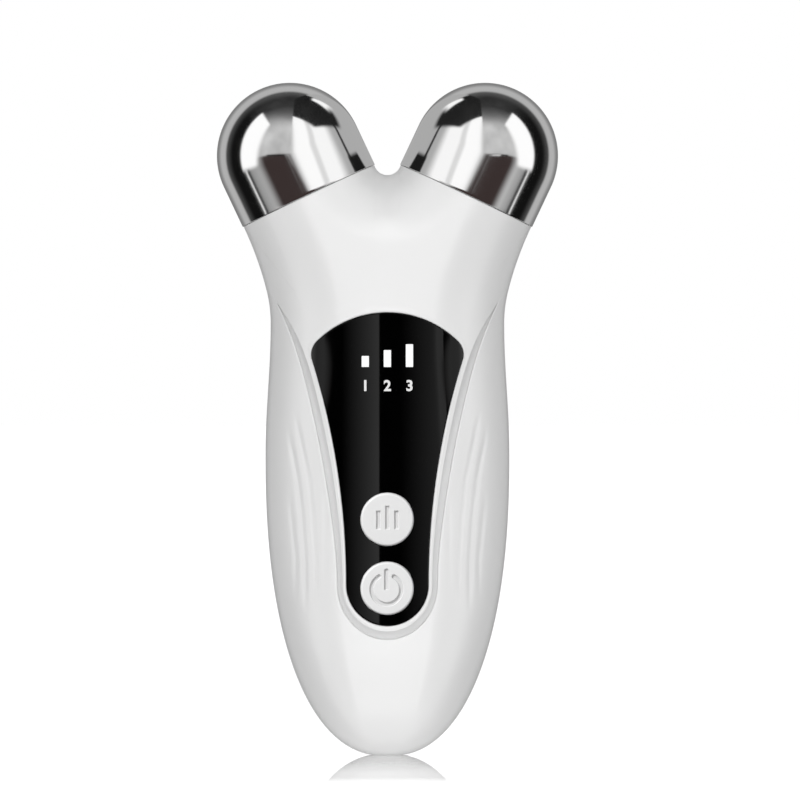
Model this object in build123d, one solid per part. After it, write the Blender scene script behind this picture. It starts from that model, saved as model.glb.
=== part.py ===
from build123d import *
import os
from math import asin, cos, pi, radians, sin, sqrt

# A facial toning device: a Y-shaped handset with two spinning metal domes.
# Sizes are in millimetres. +Z runs up the handle, the front faces -Y, and the
# origin is the centre of the tip. The casing parts on the plane Y = 0, which
# also holds both dome axes.

# Casing outline
body_depth = 16.0  # front or back face, from the parting plane
wall = 2.0
grip_swell = 1.15  # how far the grip is wider than the waist, each side
grip_widest_z = 67.0
grip_power = 2.3  # superellipse that closes the grip towards the tip
tip_sag = 0.3  # the closing curve would end this far below the flat tip
tip_round = 24.0  # height over which the depth closes at the tip
tip_power = 2.2
tip_wall = 2.2
corner_power = 0.8  # how fast the side rounding shrinks towards the tip
side_band = 0.25  # straight part of the side, each way from the parting plane
neck_pinch = 6.0  # how far the waist lies inside the arms' outer ends
waist_radius = 30.0
neck_radius = 78.0
fork_bottom_z = 129.4

# Heads
head_tilt = 25.3  # degrees from the handle's axis
head_gap = 1.4  # from the handle's middle plane to an arm of upright axis
head_z = 124.66
arm_margin = 0.1  # an arm's radius beyond the body's depth
dome_step = 0.2  # a dome's radius beyond the arm's
dome_skirt = 10.0  # from the arm's end to the centre of the dome
dome_wall = 1.4
dome_gap = 0.35
arm_plate_thickness = 4.0
arm_plate_drop = 0.5
arm_ledge = 1.4
ledge_reach = 2.2
bearing_bore = 6.0
bearing_outer = 12.0
bearing_width = 4.0
hub_plate = 2.2
hub_wall = 2.0
hub_lip = 1.0
hub_gap = 1.3  # arm plate to hub
bearing_span = 6.0  # clear length between a head's two bearings
axle_flange_radius = 5.0
axle_flange = 1.0
thread_radius = 2.5
nut_height = 3.0
nut_across = 8.0
thread_end_rise = 1.2  # thread beyond the nut
terminal_thickness = 0.6
terminal_radius = 4.4
clip_thickness = 0.6
clip_radius = 5.0
clip_groove = 0.6
seal_width = 2.0
seal_height = 1.0

# Tongue of the front shell, between the two legs of the front grip
tongue_end_z = 26.1
tongue_round_z = 38.2
tongue_half_width = 11.1
tongue_top_z = 106.0
tongue_overrun = 2.05  # how far its edge runs past the waist's side at the top
tongue_shares = (0.147, 0.424, 0.694, 1.0)  # of the way out, at these shares of the way up:
tongue_rises = (0.34, 0.67, 0.87, 1.0)
shell_gap = 0.1
tongue_lip = 1.7
tongue_lip_thickness = 1.2

# Display panel
panel_thickness = 1.2
panel_glue = 0.1
panel_gap = 0.1
panel_round = 9.2  # radius of the lower end
panel_round_z = 38.2
panel_side_radius = 168.0
panel_top_radius = 22.5
panel_top_z = 98.7
panel_corner = 4.2
floor_thickness = 1.5  # of the front shell, behind the panel

# Buttons and their switches
button_radius = 6.0
button_gap = 0.15
button_rise = 0.5
button_flange = 0.9
button_flange_thickness = 0.8
button_edge = 0.45
button_travel = 0.4
button_stem = 1.6
level_button_z = 52.7
power_button_z = 37.4
icon_depth = 0.25
icon_line = 0.95
level_icon_pitch = 2.0
level_icon_base = -2.15  # from the button's centre
level_icon_heights = (4.1, 5.2, 4.1)
power_icon_radius = 3.3
power_icon_opening = 60  # degrees
power_icon_stroke = (4.4, -0.3)  # upper and lower end of its stroke, from the centre
power_icon_shift = -0.2
switch_side = 6.0
switch_height = 3.1
plunger_radius = 1.7
plunger_height = 0.7
running_gap = 0.05

# Level display
bar_pitch = 4.9
bar_width = 1.7
bar_base_z = 86.5
bar_heights = (2.5, 3.8, 5.1)
bar_gap = 0.05
guide_wall = 1.4
led_width = 1.2
led_height = 2.0
led_thickness = 0.6

# Electronics and battery
board_behind = 8.0  # front face of the main board, behind the body's front
board_thickness = 1.6
board_low_z = 30.0
board_top_z = 94.0
board_step_z = 69.0
board_narrow = 9.3
board_wide = 12.5
board_post = 1.9
board_posts_low = (7.0, 45.05)
board_posts_high = (10.0, 76.5)
board_screw = 0.8
board_screw_head = 1.6
board_screw_head_height = 1.1
board_screw_length = 6.6
screw_clearance = 0.4  # pilot hole beyond a small screw's end
chip_side = 7.0
chip_thickness = 1.0
chip_z = 60.0
inductor_radius = 3.4
inductor_height = 3.6
inductor_z = 77.0
connector_width = 6.0
connector_depth = 4.0
connector_height = 5.0
connector_z = 86.5
battery_width = 26.0
battery_height = 44.0
battery_thickness = 6.5
battery_z = 58.0
pad_thickness = 1.0
pad_gap = 0.1
cradle_rib = 1.5
cradle_rise = 4.5
cradle_gap = 0.3
cradle_share = 0.8  # of the battery's width
pad_shares = (0.7, 0.8)  # of the battery's width and height
battery_round = 1.5

# Charging socket at the tip
socket_width = 8.94
socket_thickness = 3.26
socket_length = 7.35
socket_shell = 0.3
socket_recess = 0.9
socket_gap = 0.3
socket_tongue_width = 6.7
socket_tongue = 0.7
socket_base = 2.0
charge_board_thickness = 1.0
charge_board_half_width = 6.5
charge_board_low_z = 5.0
charge_board_top_z = 17.6
charge_posts = (4.6, 13.4)
charge_chip_side = 3.0
charge_chip_gap = 2.7  # socket to chip

# Fasteners of the casing
casing_screw = 1.0
casing_screw_head = 2.1
casing_screw_head_height = 1.6
casing_screw_reach = 8.0
casing_post = 2.6
casing_counterbore = 2.3
casing_seat = 6.0  # screw head's seat, from the parting plane
plug_gap = 0.05
plug_air = 0.4  # screw head to plug
neck_screws = (9.0, 107.0)
grip_screws = (18.0, 50.0)
tip_screw_z = 21.3
pilot_gap = 0.02
hole_gap = 0.3

# Leads
lead_radius = 0.6

# Worked out from the sizes above
axis = Vector(sin(radians(head_tilt)), cos(radians(head_tilt)))
across = Vector(cos(radians(head_tilt)), -sin(radians(head_tilt)))
arm_radius = body_depth + arm_margin
dome_radius = arm_radius + dome_step
head_x = arm_radius + head_gap
head = Vector(head_x, head_z)
waist_half_width = head_x + across.X * arm_radius - neck_pinch
grip_half_width = waist_half_width + grip_swell
fork_radius = -(arm_radius + across.Y * (fork_bottom_z - head_z) - across.X * head_x) / (1 + across.Y)
fork_centre = Vector(0, fork_bottom_z + fork_radius)
neck_centre = head + across * (arm_radius + neck_radius)
waist_rise = sqrt((neck_radius - waist_radius) ** 2 - (neck_centre.X - waist_half_width - waist_radius) ** 2)
waist_centre = Vector(waist_half_width + waist_radius, neck_centre.Y + waist_rise)
waist_z = waist_centre.Y
far = 200.0  # beyond the object in any direction

pocket_depth = panel_thickness + panel_glue
floor_depth = pocket_depth + floor_thickness
floor_y = floor_depth - body_depth
board_y = board_behind - body_depth
board_back_y = board_y + board_thickness
plate_top = -arm_plate_drop
plate_bottom = plate_top - arm_plate_thickness
hub_bottom = plate_top + hub_gap
lower_bearing = hub_bottom + hub_plate / 2
upper_bearing = lower_bearing + bearing_width + bearing_span
hub_top = upper_bearing + bearing_width
clip_bottom = hub_top + running_gap
charge_y = socket_thickness / 2
charge_back_y = charge_y + charge_board_thickness
parts = {}


def between(sketch, y_from, y_to):
    """A sketch in the XZ plane, extruded from one depth to another."""
    return extrude(Plane.XZ.offset(-y_from) * sketch, amount=y_from - y_to)


def rod(radius, x, z, y_from, y_to):
    """A round rod along Y."""
    return between(Pos(x, z) * Circle(radius), y_from, y_to)


def block(width, height, x, z, y_from, y_to):
    """A rectangular block centred on x and z."""
    return between(Pos(x, z) * Rectangle(width, height), y_from, y_to)


def turned(points):
    """A closed profile of (radius, height) points, turned about Z."""
    return revolve(Plane.XZ * make_face(Polyline(*points, close=True)), Axis.Z)


def ring(inner, outer, low, high):
    """A plain ring about Z."""
    return turned([(inner, low), (outer, low), (outer, high), (inner, high)])


def grip_width(z, inset):
    """Half the grip's width at a height, for a surface inset from the outside."""
    widest = grip_half_width - inset
    if z >= grip_widest_z:
        turn = pi * (z - grip_widest_z) / (waist_z - grip_widest_z)
        return widest - (grip_half_width - waist_half_width) * (1 - cos(turn)) / 2
    reach = grip_widest_z + tip_sag - inset * tip_wall / wall
    return widest * (1 - ((grip_widest_z - z) / reach) ** grip_power) ** (1 / grip_power)


def grip_depth(z, inset):
    """Depth of the front or back face at a height."""
    deepest = body_depth - inset
    if z >= tip_round:
        return deepest
    reach = tip_round + tip_sag - inset * tip_wall / wall
    return deepest * (1 - ((tip_round - z) / reach) ** tip_power) ** (1 / tip_power)


def grip_section(z, inset):
    """The grip's outline at a height: flat front and back, round sides."""
    width = grip_width(z, inset)
    depth = grip_depth(z, inset)
    corner = body_depth - inset - side_band
    if z < grip_widest_z:
        corner *= (width / (grip_half_width - inset)) ** corner_power
    flat = width - corner
    band = side_band * depth / (body_depth - inset)
    curve = depth - band
    return Wire([
        Line((-flat, -depth, z), (flat, -depth, z)),
        EllipticalCenterArc((flat, -band, z), corner, curve, start_angle=-90, arc_size=90),
        Line((width, -band, z), (width, band, z)),
        EllipticalCenterArc((flat, band, z), corner, curve, start_angle=0, arc_size=90),
        Line((flat, depth, z), (-flat, depth, z)),
        EllipticalCenterArc((-flat, band, z), corner, curve, start_angle=90, arc_size=90),
        Line((-width, band, z), (-width, -band, z)),
        EllipticalCenterArc((-flat, -band, z), corner, curve, start_angle=180, arc_size=90),
    ])


def grip_body(inset):
    """The grip, from the tip to the waist."""
    low = inset * tip_wall / wall
    reach = grip_widest_z + tip_sag - low
    last = asin(((grip_widest_z - low) / reach) ** (grip_power / 2))
    steps = 9
    closing = [grip_widest_z - reach * sin(last * k / steps) ** (2 / grip_power) for k in range(steps, 0, -1)]
    closing[0] = low
    opening = [grip_widest_z + (waist_z - grip_widest_z) * k / 3 for k in range(4)]
    return Part() + Solid.make_loft([grip_section(z, inset) for z in closing + opening])


def arms_outline(inset, low, over):
    """Outline of the waist, neck and arms, run past the arms' ends."""
    width = arm_radius - inset
    turn = (waist_centre - neck_centre).normalized()
    neck_end = head + across * width
    neck_start = neck_centre + turn * (neck_radius + inset)
    neck_middle = neck_centre + (turn - across).normalized() * (neck_radius + inset)
    waist_middle = waist_centre + (turn + Vector(-1, 0)).normalized() * (waist_radius + inset)
    fork = fork_radius + inset
    fork_end = fork_centre + across * fork
    fork_middle = fork_centre + (across + Vector(0, -1)).normalized() * fork
    waist = waist_half_width - inset

    def side(sign):
        def at(point):
            return (sign * point.X, point.Y)

        return [
            Line((sign * waist, low), (sign * waist, waist_z)),
            ThreePointArc((sign * waist, waist_z), at(waist_middle), at(neck_start)),
            ThreePointArc(at(neck_start), at(neck_middle), at(neck_end)),
            Line(at(neck_end), at(neck_end + axis * over)),
            Line(at(neck_end + axis * over), at(head - across * width + axis * over)),
            Line(at(head - across * width + axis * over), at(fork_end)),
            ThreePointArc(at(fork_end), at(fork_middle), (0, fork_bottom_z - inset)),
        ]

    return Face(Wire([*side(1), *side(-1), Line((waist, low), (-waist, low))]))


def arms_body(inset):
    """The neck and both arms: the outline in full depth, its rims rolled round."""
    low = waist_z - 2 * body_depth
    over = body_depth / 2
    depth = body_depth - inset
    slab = between(arms_outline(inset, low, over), -depth, depth)

    def rolled(edge):
        centre = edge.center()
        beyond = (Vector(abs(centre.X), centre.Z) - head).dot(axis)
        return abs(abs(centre.Y) - depth) < 0.01 and centre.Z > low + 0.01 and beyond < over - 0.01

    round_slab = fillet(slab.edges().filter_by(rolled), depth - side_band)
    return round_slab & Pos(0, 0, waist_z + far / 2) * Box(far, far, far)


def body(inset):
    """The whole outer shape, or the same shape inset by a wall."""
    whole = grip_body(inset) + arms_body(inset)
    for side in (-1, 1):
        whole -= head_plane(side) * Pos(0, 0, far / 2) * Box(2 * body_depth + 4, far, far)
    return whole


def head_plane(side):
    """Frame of a head: +Z out along its axis, from the end of the arm."""
    x_dir = (across.X, 0, side * across.Y)
    return Plane(origin=(side * head_x, 0, head_z), x_dir=x_dir, z_dir=(side * axis.X, 0, axis.Y))


def tongue_outline(grow):
    """The tongue's outline, widening into the neck and run past the arms."""
    half = tongue_half_width + grow
    end = tongue_end_z - grow
    rise = tongue_top_z - tongue_round_z
    flare = waist_half_width + tongue_overrun - tongue_half_width
    side = [(half, tongue_round_z)]
    side += [(half + a * flare, tongue_round_z + b * rise) for a, b in zip(tongue_shares, tongue_rises)]

    def leg(sign):
        points = [(sign * x, z) for x, z in side]
        return [
            Spline(*points, tangents=[(0, 1), (sign * 0.7, 0.7)]),
            Line(points[-1], (sign * far, tongue_top_z + far)),
        ]

    bottom = EllipticalCenterArc((0, tongue_round_z), half, tongue_round_z - end, start_angle=180, arc_size=180)
    top = Line((-far, tongue_top_z + far), (far, tongue_top_z + far))
    return Face(Wire([bottom, *leg(1), *leg(-1), top]))


def panel_outline(grow):
    """The panel's outline: round lower end, arched sides and an arched top."""
    low = panel_round + grow
    side_radius = panel_side_radius - grow
    top_radius = panel_top_radius + grow
    side_centre = Vector(panel_round + panel_side_radius, panel_round_z)
    top_centre = Vector(0, panel_top_z - panel_top_radius)
    apart = (side_centre - top_centre).length
    towards = (side_centre - top_centre).normalized()
    along = (top_radius ** 2 - side_radius ** 2 + apart ** 2) / (2 * apart)
    aside = sqrt(top_radius ** 2 - along ** 2)
    corner = top_centre + towards * along + Vector(-towards.Y, towards.X) * aside
    bend = side_centre + ((corner - side_centre).normalized() + Vector(-1, 0)).normalized() * side_radius

    def at(point, sign):
        return (sign * point.X, point.Y)

    outline = Wire([
        ThreePointArc((-low, panel_round_z), (0, panel_round_z - low), (low, panel_round_z)),
        ThreePointArc((low, panel_round_z), at(bend, 1), at(corner, 1)),
        ThreePointArc(at(corner, 1), (0, panel_top_z + grow), at(corner, -1)),
        ThreePointArc(at(corner, -1), at(bend, -1), (-low, panel_round_z)),
    ])
    face = Sketch() + Face(outline)
    return fillet(face.vertices().group_by(Axis.Y)[-1], panel_corner + grow)


def icon_bars():
    """Three level bars on one line, the middle one tallest."""
    bars = Sketch()
    for k, height in enumerate(level_icon_heights):
        bars += Pos((k - 1) * level_icon_pitch, level_icon_base + height / 2) * Rectangle(icon_line, height)
    return bars


def icon_power():
    """An open ring with a stroke through its gap."""
    start = 90 + power_icon_opening / 2
    arc = CenterArc((power_icon_shift, power_icon_shift), power_icon_radius, start, 360 - power_icon_opening)
    top, low = power_icon_stroke
    stroke = Pos(power_icon_shift, (top + low) / 2) * SlotOverall(top - low, icon_line, rotation=90)
    return trace(arc, icon_line) + stroke


outer = body(0)
middle = body(wall / 2)
cavity = body(wall)
pocket = body(pocket_depth)
casing = outer - cavity
front_space = Pos(0, -far / 2, 0) * Box(2 * far, far, 2 * far)
back_space = Pos(0, far / 2, 0) * Box(2 * far, far, 2 * far)
tip_front = -body_depth
slider = button_radius - button_gap


def posts(places, radius, y_from, y_to):
    """Round posts, kept inside the middle of the casing's wall."""
    return Part() + [rod(radius, x, z, y_from, y_to) for x, z in places] & middle


def pairs(place):
    """A place and its mirror image."""
    return [(-place[0], place[1]), place]


neck_places = pairs(neck_screws)
grip_places = pairs(grip_screws) + [(0, tip_screw_z)]
casing_places = neck_places + grip_places
board_places = pairs(board_posts_low) + pairs(board_posts_high)
charge_places = pairs(charge_posts)
button_places = {"level": level_button_z, "power": power_button_z}


def ledges():
    """The two ledges in the arms, under the arm plates."""
    band = ring(arm_radius - wall - ledge_reach, arm_radius, plate_bottom - arm_ledge, plate_bottom)
    return (head_plane(-1) * band + head_plane(1) * band) & middle


def socket_hole():
    """The opening at the tip that the charging plug goes through."""
    width = socket_width + 2 * socket_gap
    thick = socket_thickness + 2 * socket_gap
    return extrude(Pos(0, 0, -1) * RectangleRounded(width, thick, thick / 2 - 0.01), amount=tip_wall + 2)


def light_block():
    """Width, height and centre of the block behind the level bars."""
    width = 2 * bar_pitch + bar_width + 2 * guide_wall
    height = max(bar_heights) + 2 * guide_wall
    return width, height, bar_base_z + max(bar_heights) / 2


def front_shell():
    """Neck and tongue of the front casing, with the panel's pocket."""
    shell = casing & front_space & between(tongue_outline(-shell_gap / 2), tip_front - 1, 0)
    lip = body(wall + shell_gap) - body(wall + shell_gap + tongue_lip_thickness)
    lip &= between(tongue_outline(tongue_lip) - tongue_outline(-tongue_lip), tip_front - 1, -shell_gap)
    inner_lip = (cavity - body(wall + shell_gap + tongue_lip_thickness)) & front_space
    inner_lip &= between(tongue_outline(-shell_gap / 2) - tongue_outline(-tongue_lip), tip_front - 1, -shell_gap)
    floor = (pocket - body(floor_depth)) & between(panel_outline(floor_thickness), tip_front - 1, 0)
    shell = shell + lip + inner_lip + floor
    shell -= between(panel_outline(panel_gap), tip_front - 1, 0) - pocket
    shell += posts(board_places, board_post, tip_front, board_y) & between(panel_outline(0), tip_front, 0) & pocket
    shell += posts(neck_places, casing_post, tip_front, 0)
    shell += ledges() & front_space
    for z in button_places.values():
        shell -= rod(button_radius, 0, z, tip_front - 1, board_y)
    width, height, z = light_block()
    shell -= block(width + 2 * panel_gap, height + 2 * panel_gap, 0, z, tip_front - 1, floor_y + 1)
    for x, z in board_places:
        shell -= rod(board_screw + pilot_gap, x, z, board_back_y - board_screw_length - screw_clearance, board_y)
    for x, z in neck_places:
        shell -= rod(casing_screw + pilot_gap, x, z, -casing_screw_reach - 1, 0)
    return shell


def front_grip():
    """Horseshoe of the front casing, round the tongue."""
    grip = casing & front_space - between(tongue_outline(shell_gap / 2), tip_front - 1, 1)
    grip += posts(grip_places, casing_post, tip_front, 0) - between(tongue_outline(shell_gap / 2), tip_front, 1)
    for x, z in grip_places:
        grip -= rod(casing_screw + pilot_gap, x, z, -casing_screw_reach - 1, 0)
    return grip - socket_hole()


def rear_shell():
    """The whole back of the casing."""
    shell = casing & back_space
    shell += posts(casing_places, casing_post, 0, body_depth)
    shell += ledges() & back_space
    shell += posts(charge_places, board_post, charge_back_y, body_depth)
    rib_z = battery_height / 2 + cradle_gap + cradle_rib / 2
    for z in (battery_z - rib_z, battery_z + rib_z):
        low = body_depth - wall - cradle_rise
        shell += block(battery_width * cradle_share, cradle_rib, 0, z, low, body_depth) & middle
    for x, z in casing_places:
        shell -= rod(casing_screw + hole_gap, x, z, 0, body_depth)
        shell -= rod(casing_counterbore, x, z, casing_seat, body_depth + 1)
    for x, z in charge_places:
        shell -= rod(board_screw + pilot_gap, x, z, charge_back_y, charge_y + board_screw_length + screw_clearance)
    return shell - socket_hole()


parts["front_shell"] = front_shell()
parts["front_grip"] = front_grip()
parts["rear_shell"] = rear_shell()


# Display panel, its bars and the light guide behind them
def bar_shapes(grow):
    """The three level bars, standing on one line."""
    bars = Sketch()
    for k, height in enumerate(bar_heights):
        bar = Rectangle(bar_width + 2 * grow, height + 2 * grow)
        bars += Pos((k - 1) * bar_pitch, bar_base_z + height / 2) * bar
    return bars


panel_back_y = panel_thickness - body_depth
panel = (outer - body(panel_thickness)) & between(panel_outline(0), tip_front - 1, 0)
for z in button_places.values():
    panel -= rod(button_radius, 0, z, tip_front - 1, 0)
panel -= between(bar_shapes(bar_gap), tip_front - 1, 0)
parts["display_panel"] = panel

led_front_y = board_y - led_thickness
parts["level_light_bars"] = between(bar_shapes(0), tip_front, led_front_y - 2)
guide_width, guide_height, guide_z = light_block()
guide = block(guide_width, guide_height, 0, guide_z, panel_back_y + running_gap, board_y - running_gap)
guide -= between(bar_shapes(bar_gap), tip_front, led_front_y - 1)
leds = Part()
for k in (-1, 0, 1):
    led_z = bar_base_z + bar_heights[0] / 2
    guide -= block(led_width + 0.6, led_height + 0.6, k * bar_pitch, led_z, led_front_y - 2, 0)
    leds += block(led_width, led_height, k * bar_pitch, led_z, led_front_y, board_y)
parts["light_guide"] = guide
parts["level_leds"] = leds


# Buttons and tact switches
def button(z, icon):
    """A round cap with a flange behind the shell's floor and a short stem."""
    back = floor_y + running_gap + button_flange_thickness
    front = tip_front - button_rise
    cap = rod(slider, 0, z, front, back)
    cap = fillet(cap.edges().filter_by(GeomType.CIRCLE).group_by(Axis.Y)[0], button_edge)
    cap += rod(button_radius + button_flange, 0, z, floor_y + running_gap, back)
    cap += rod(button_stem, 0, z, back, plunger_y - running_gap)
    return cap - between(Pos(0, z) * icon, front - 1, front + icon_depth)


switch_front_y = board_y - switch_height
plunger_y = switch_front_y - plunger_height
parts["level_button"] = button(level_button_z, icon_bars())
parts["power_button"] = button(power_button_z, icon_power())
for name, z in button_places.items():
    plunger_end = switch_front_y + 2 * button_travel
    switch = block(switch_side, switch_side, 0, z, switch_front_y, board_y)
    switch -= rod(plunger_radius + running_gap, 0, z, switch_front_y, plunger_end + 2 * button_travel)
    parts[name + "_switch"] = switch
    parts[name + "_plunger"] = rod(plunger_radius, 0, z, plunger_y, plunger_end)


# Main board and what it carries
def pan_screws(places, y_seat, direction):
    """Small pan-head screws: the shank runs from the seat along the direction."""
    screws = Part()
    for x, z in places:
        screws += rod(board_screw, x, z, y_seat, y_seat + direction * board_screw_length)
        screws += rod(board_screw_head, x, z, y_seat, y_seat - direction * board_screw_head_height)
    return screws


board = block(2 * board_narrow, board_step_z - board_low_z, 0, (board_step_z + board_low_z) / 2, board_y, board_back_y)
board += block(2 * board_wide, board_top_z - board_step_z, 0, (board_top_z + board_step_z) / 2, board_y, board_back_y)
for x, z in board_places:
    board -= rod(board_screw + hole_gap, x, z, board_y, board_back_y)
parts["main_board"] = board
parts["board_screws"] = pan_screws(board_places, board_back_y, -1)
parts["control_chip"] = block(chip_side, chip_side, 0, chip_z, board_back_y, board_back_y + chip_thickness)
parts["boost_inductor"] = rod(inductor_radius, 0, inductor_z, board_back_y, board_back_y + inductor_height)
connector = block(connector_width, connector_height, 0, connector_z, board_back_y, board_back_y + connector_depth)
parts["battery_connector"] = connector

pad_y = body_depth - wall - pad_gap - pad_thickness
battery_y = pad_y - battery_thickness
battery = block(battery_width, battery_height, 0, battery_z, battery_y, pad_y)
parts["battery"] = fillet(battery.edges().filter_by(Axis.Z), battery_round)
pad_width = battery_width * pad_shares[0]
pad_height = battery_height * pad_shares[1]
parts["battery_pad"] = block(pad_width, pad_height, 0, battery_z, pad_y, pad_y + pad_thickness)

# Charging socket and its board
socket_front = socket_recess
shell_outline = RectangleRounded(socket_width, socket_thickness, socket_thickness / 2 - 0.01)
inner_width = socket_width - 2 * socket_shell
inner_thick = socket_thickness - 2 * socket_shell
shell_bore = RectangleRounded(inner_width, inner_thick, inner_thick / 2 - 0.01)
sleeve = extrude(Pos(0, 0, socket_front) * shell_outline, amount=socket_length)
sleeve -= extrude(Pos(0, 0, socket_front) * shell_bore, amount=socket_length - socket_shell)
parts["socket_shell"] = sleeve
base_low = socket_front + socket_length - socket_shell - socket_base
insert_thick = inner_thick - 2 * running_gap
insert_outline = RectangleRounded(inner_width - 2 * running_gap, insert_thick, insert_thick / 2 - 0.01)
insert = extrude(Pos(0, 0, base_low) * insert_outline, amount=socket_base - running_gap)
tongue = extrude(Pos(0, 0, socket_front + 0.8) * Rectangle(socket_tongue_width, socket_tongue), amount=socket_length - 2)
parts["socket_tongue"] = insert + tongue
charge_height = charge_board_top_z - charge_board_low_z
charge_mid_z = (charge_board_top_z + charge_board_low_z) / 2
charge_board = block(2 * charge_board_half_width, charge_height, 0, charge_mid_z, charge_y, charge_back_y)
for x, z in charge_places:
    charge_board -= rod(board_screw + hole_gap, x, z, charge_y, charge_back_y)
parts["charge_board"] = charge_board
parts["charge_board_screws"] = pan_screws(charge_places, charge_y, 1)
charger_z = socket_front + socket_length + charge_chip_gap + charge_chip_side / 2
parts["charge_chip"] = block(charge_chip_side, charge_chip_side, 0, charger_z, charge_y - chip_thickness, charge_y)

# Casing screws and the plugs that hide them
screws = Part()
plugs = Part()
for x, z in casing_places:
    screws += rod(casing_screw, x, z, -casing_screw_reach, casing_seat)
    screws += rod(casing_screw_head, x, z, casing_seat, casing_seat + casing_screw_head_height)
    plug_low = casing_seat + casing_screw_head_height + plug_air
    plugs += rod(casing_counterbore - plug_gap, x, z, plug_low, body_depth + 1) & outer
parts["casing_screws"] = screws
parts["screw_plugs"] = plugs


# Heads: each dome turns with its hub on two bearings, round a fixed axle
def dome():
    """A thin metal dome with a straight skirt."""
    inner = dome_radius - dome_wall
    height = dome_skirt - dome_gap
    lift = Pos(0, 0, dome_gap + height / 2)
    outside = lift * Cylinder(dome_radius, height) + Pos(0, 0, dome_skirt) * Sphere(dome_radius)
    inside = lift * Cylinder(inner, height) + Pos(0, 0, dome_skirt) * Sphere(inner)
    below = Pos(0, 0, dome_gap - far / 2) * Box(far, far, far)
    return outside - inside - below


def hub():
    """The carrier in the dome: a plate and a tube with two bearing seats."""
    seat = bearing_outer / 2 + running_gap
    neck = bearing_outer / 2 - hub_lip
    tube = bearing_outer / 2 + hub_wall
    plate = dome_radius - dome_wall - running_gap
    return turned([
        (neck, lower_bearing + bearing_width),
        (seat, lower_bearing + bearing_width),
        (seat, hub_bottom),
        (plate, hub_bottom),
        (plate, hub_bottom + hub_plate),
        (tube, hub_bottom + hub_plate),
        (tube, hub_top),
        (seat, hub_top),
        (seat, upper_bearing),
        (neck, upper_bearing),
    ])


def bearing(low):
    """A small ball bearing, as one ring with its shields' recesses."""
    bore = bearing_bore / 2 + running_gap
    outside = bearing_outer / 2
    race = (outside - bore) / 4
    recess = 0.2
    whole = ring(bore, outside, low, low + bearing_width)
    whole -= ring(bore + race, outside - race, low, low + recess)
    return whole - ring(bore + race, outside - race, low + bearing_width - recess, low + bearing_width)


def axle():
    """A stepped pin: thread, flange, journal and the clip's groove."""
    journal = bearing_bore / 2
    groove_low = clip_bottom - running_gap
    groove_high = clip_bottom + clip_thickness + running_gap
    axle_top = groove_high + 0.8
    thread_end = plate_bottom - terminal_thickness - nut_height - thread_end_rise
    return turned([
        (0, thread_end),
        (thread_radius, thread_end),
        (thread_radius, plate_top),
        (axle_flange_radius, plate_top),
        (axle_flange_radius, plate_top + axle_flange),
        (journal, plate_top + axle_flange),
        (journal, groove_low),
        (journal - clip_groove, groove_low),
        (journal - clip_groove, groove_high),
        (journal, groove_high),
        (journal, axle_top),
        (0, axle_top),
    ])


def clip():
    """The retaining clip in the axle's groove, open on one side."""
    inner = bearing_bore / 2 - clip_groove + running_gap
    whole = ring(inner, clip_radius, clip_bottom, clip_bottom + clip_thickness)
    return whole - Pos(clip_radius, 0, clip_bottom) * Box(2 * clip_radius, 1.6 * inner, 4 * clip_thickness)


def arm_plate():
    """The disc that closes the arm and carries the axle."""
    plate = ring(thread_radius + running_gap, arm_radius - wall - 0.25, plate_bottom, plate_top)
    recess = ring(thread_radius + 3 * terminal_radius / 2, arm_radius - wall - 2, plate_bottom, plate_bottom + 1.5)
    return plate - recess


def seal():
    """A soft ring between the arm plate and the hub, round the axle's flange."""
    inner = axle_flange_radius + running_gap
    return ring(inner, inner + seal_width, plate_top, plate_top + seal_height)


def terminal():
    """A ring terminal under the nut, with a tab for the lead."""
    low = plate_bottom - terminal_thickness
    eye = ring(thread_radius + running_gap, terminal_radius, low, plate_bottom)
    tab = Pos(0, terminal_radius + 1.0, low + terminal_thickness / 2) * Box(2.4, 3.6, terminal_thickness)
    return eye + tab


def nut():
    """A hexagon nut on the axle's thread."""
    top = plate_bottom - terminal_thickness
    hexagon = RegularPolygon(nut_across / 2, 6, major_radius=False) - Circle(thread_radius + pilot_gap)
    return extrude(Pos(0, 0, top - nut_height) * hexagon, amount=nut_height)


for side_name, side in (("left", -1), ("right", 1)):
    plane = head_plane(side)
    pieces = {
        "dome": dome(),
        "hub": hub(),
        "lower_bearing": bearing(lower_bearing),
        "upper_bearing": bearing(upper_bearing),
        "axle": axle(),
        "axle_clip": clip(),
        "arm_plate": arm_plate(),
        "axle_seal": seal(),
        "terminal": terminal(),
        "axle_nut": nut(),
    }
    for name, piece in pieces.items():
        parts[side_name + "_" + name] = plane * piece


# Leads, each a run of straight stretches joined by wide arcs
def lead(points):
    """A round lead through hand-placed points."""
    route = [Vector(*p) for p in points]
    radii = []
    for before, here, after in zip(route, route[1:], route[2:]):
        turn = radians((here - before).get_angle(after - here))
        shorter = min((here - before).length, (after - here).length)
        radii.append(0.45 * shorter / (sin(turn / 2) / cos(turn / 2)))
    path = FilletPolyline(*route, radius=radii)
    print("lead radii", [round(r, 1) for r in radii])
    start = Plane(origin=path @ 0, z_dir=path % 0)
    return sweep(start * Circle(lead_radius), path=path)


terminal_y = terminal_radius + 2.2
terminal_low = plate_bottom - terminal_thickness - lead_radius
lead_y = board_back_y + lead_radius
for side_name, side in (("left", -1), ("right", 1)):
    end = head_plane(side).from_local_coords(Vector(0, terminal_y, terminal_low))
    points = [
        (side * (head_x - 6.5), lead_y, board_top_z - 4.0),
        (side * (head_x - 6.5), lead_y, board_top_z + 1.5),
        (side * (head_x - 4.3), lead_y + 3.4, board_top_z + 7.0),
        (side * (head_x - 3.2), end.Y - 4.0, head_z - 17.16),
        (end.X - side * 0.9, end.Y, end.Z - 4.5),
        (end.X, end.Y, end.Z),
    ]
    parts[side_name + "_electrode_lead"] = lead(points)

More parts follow.
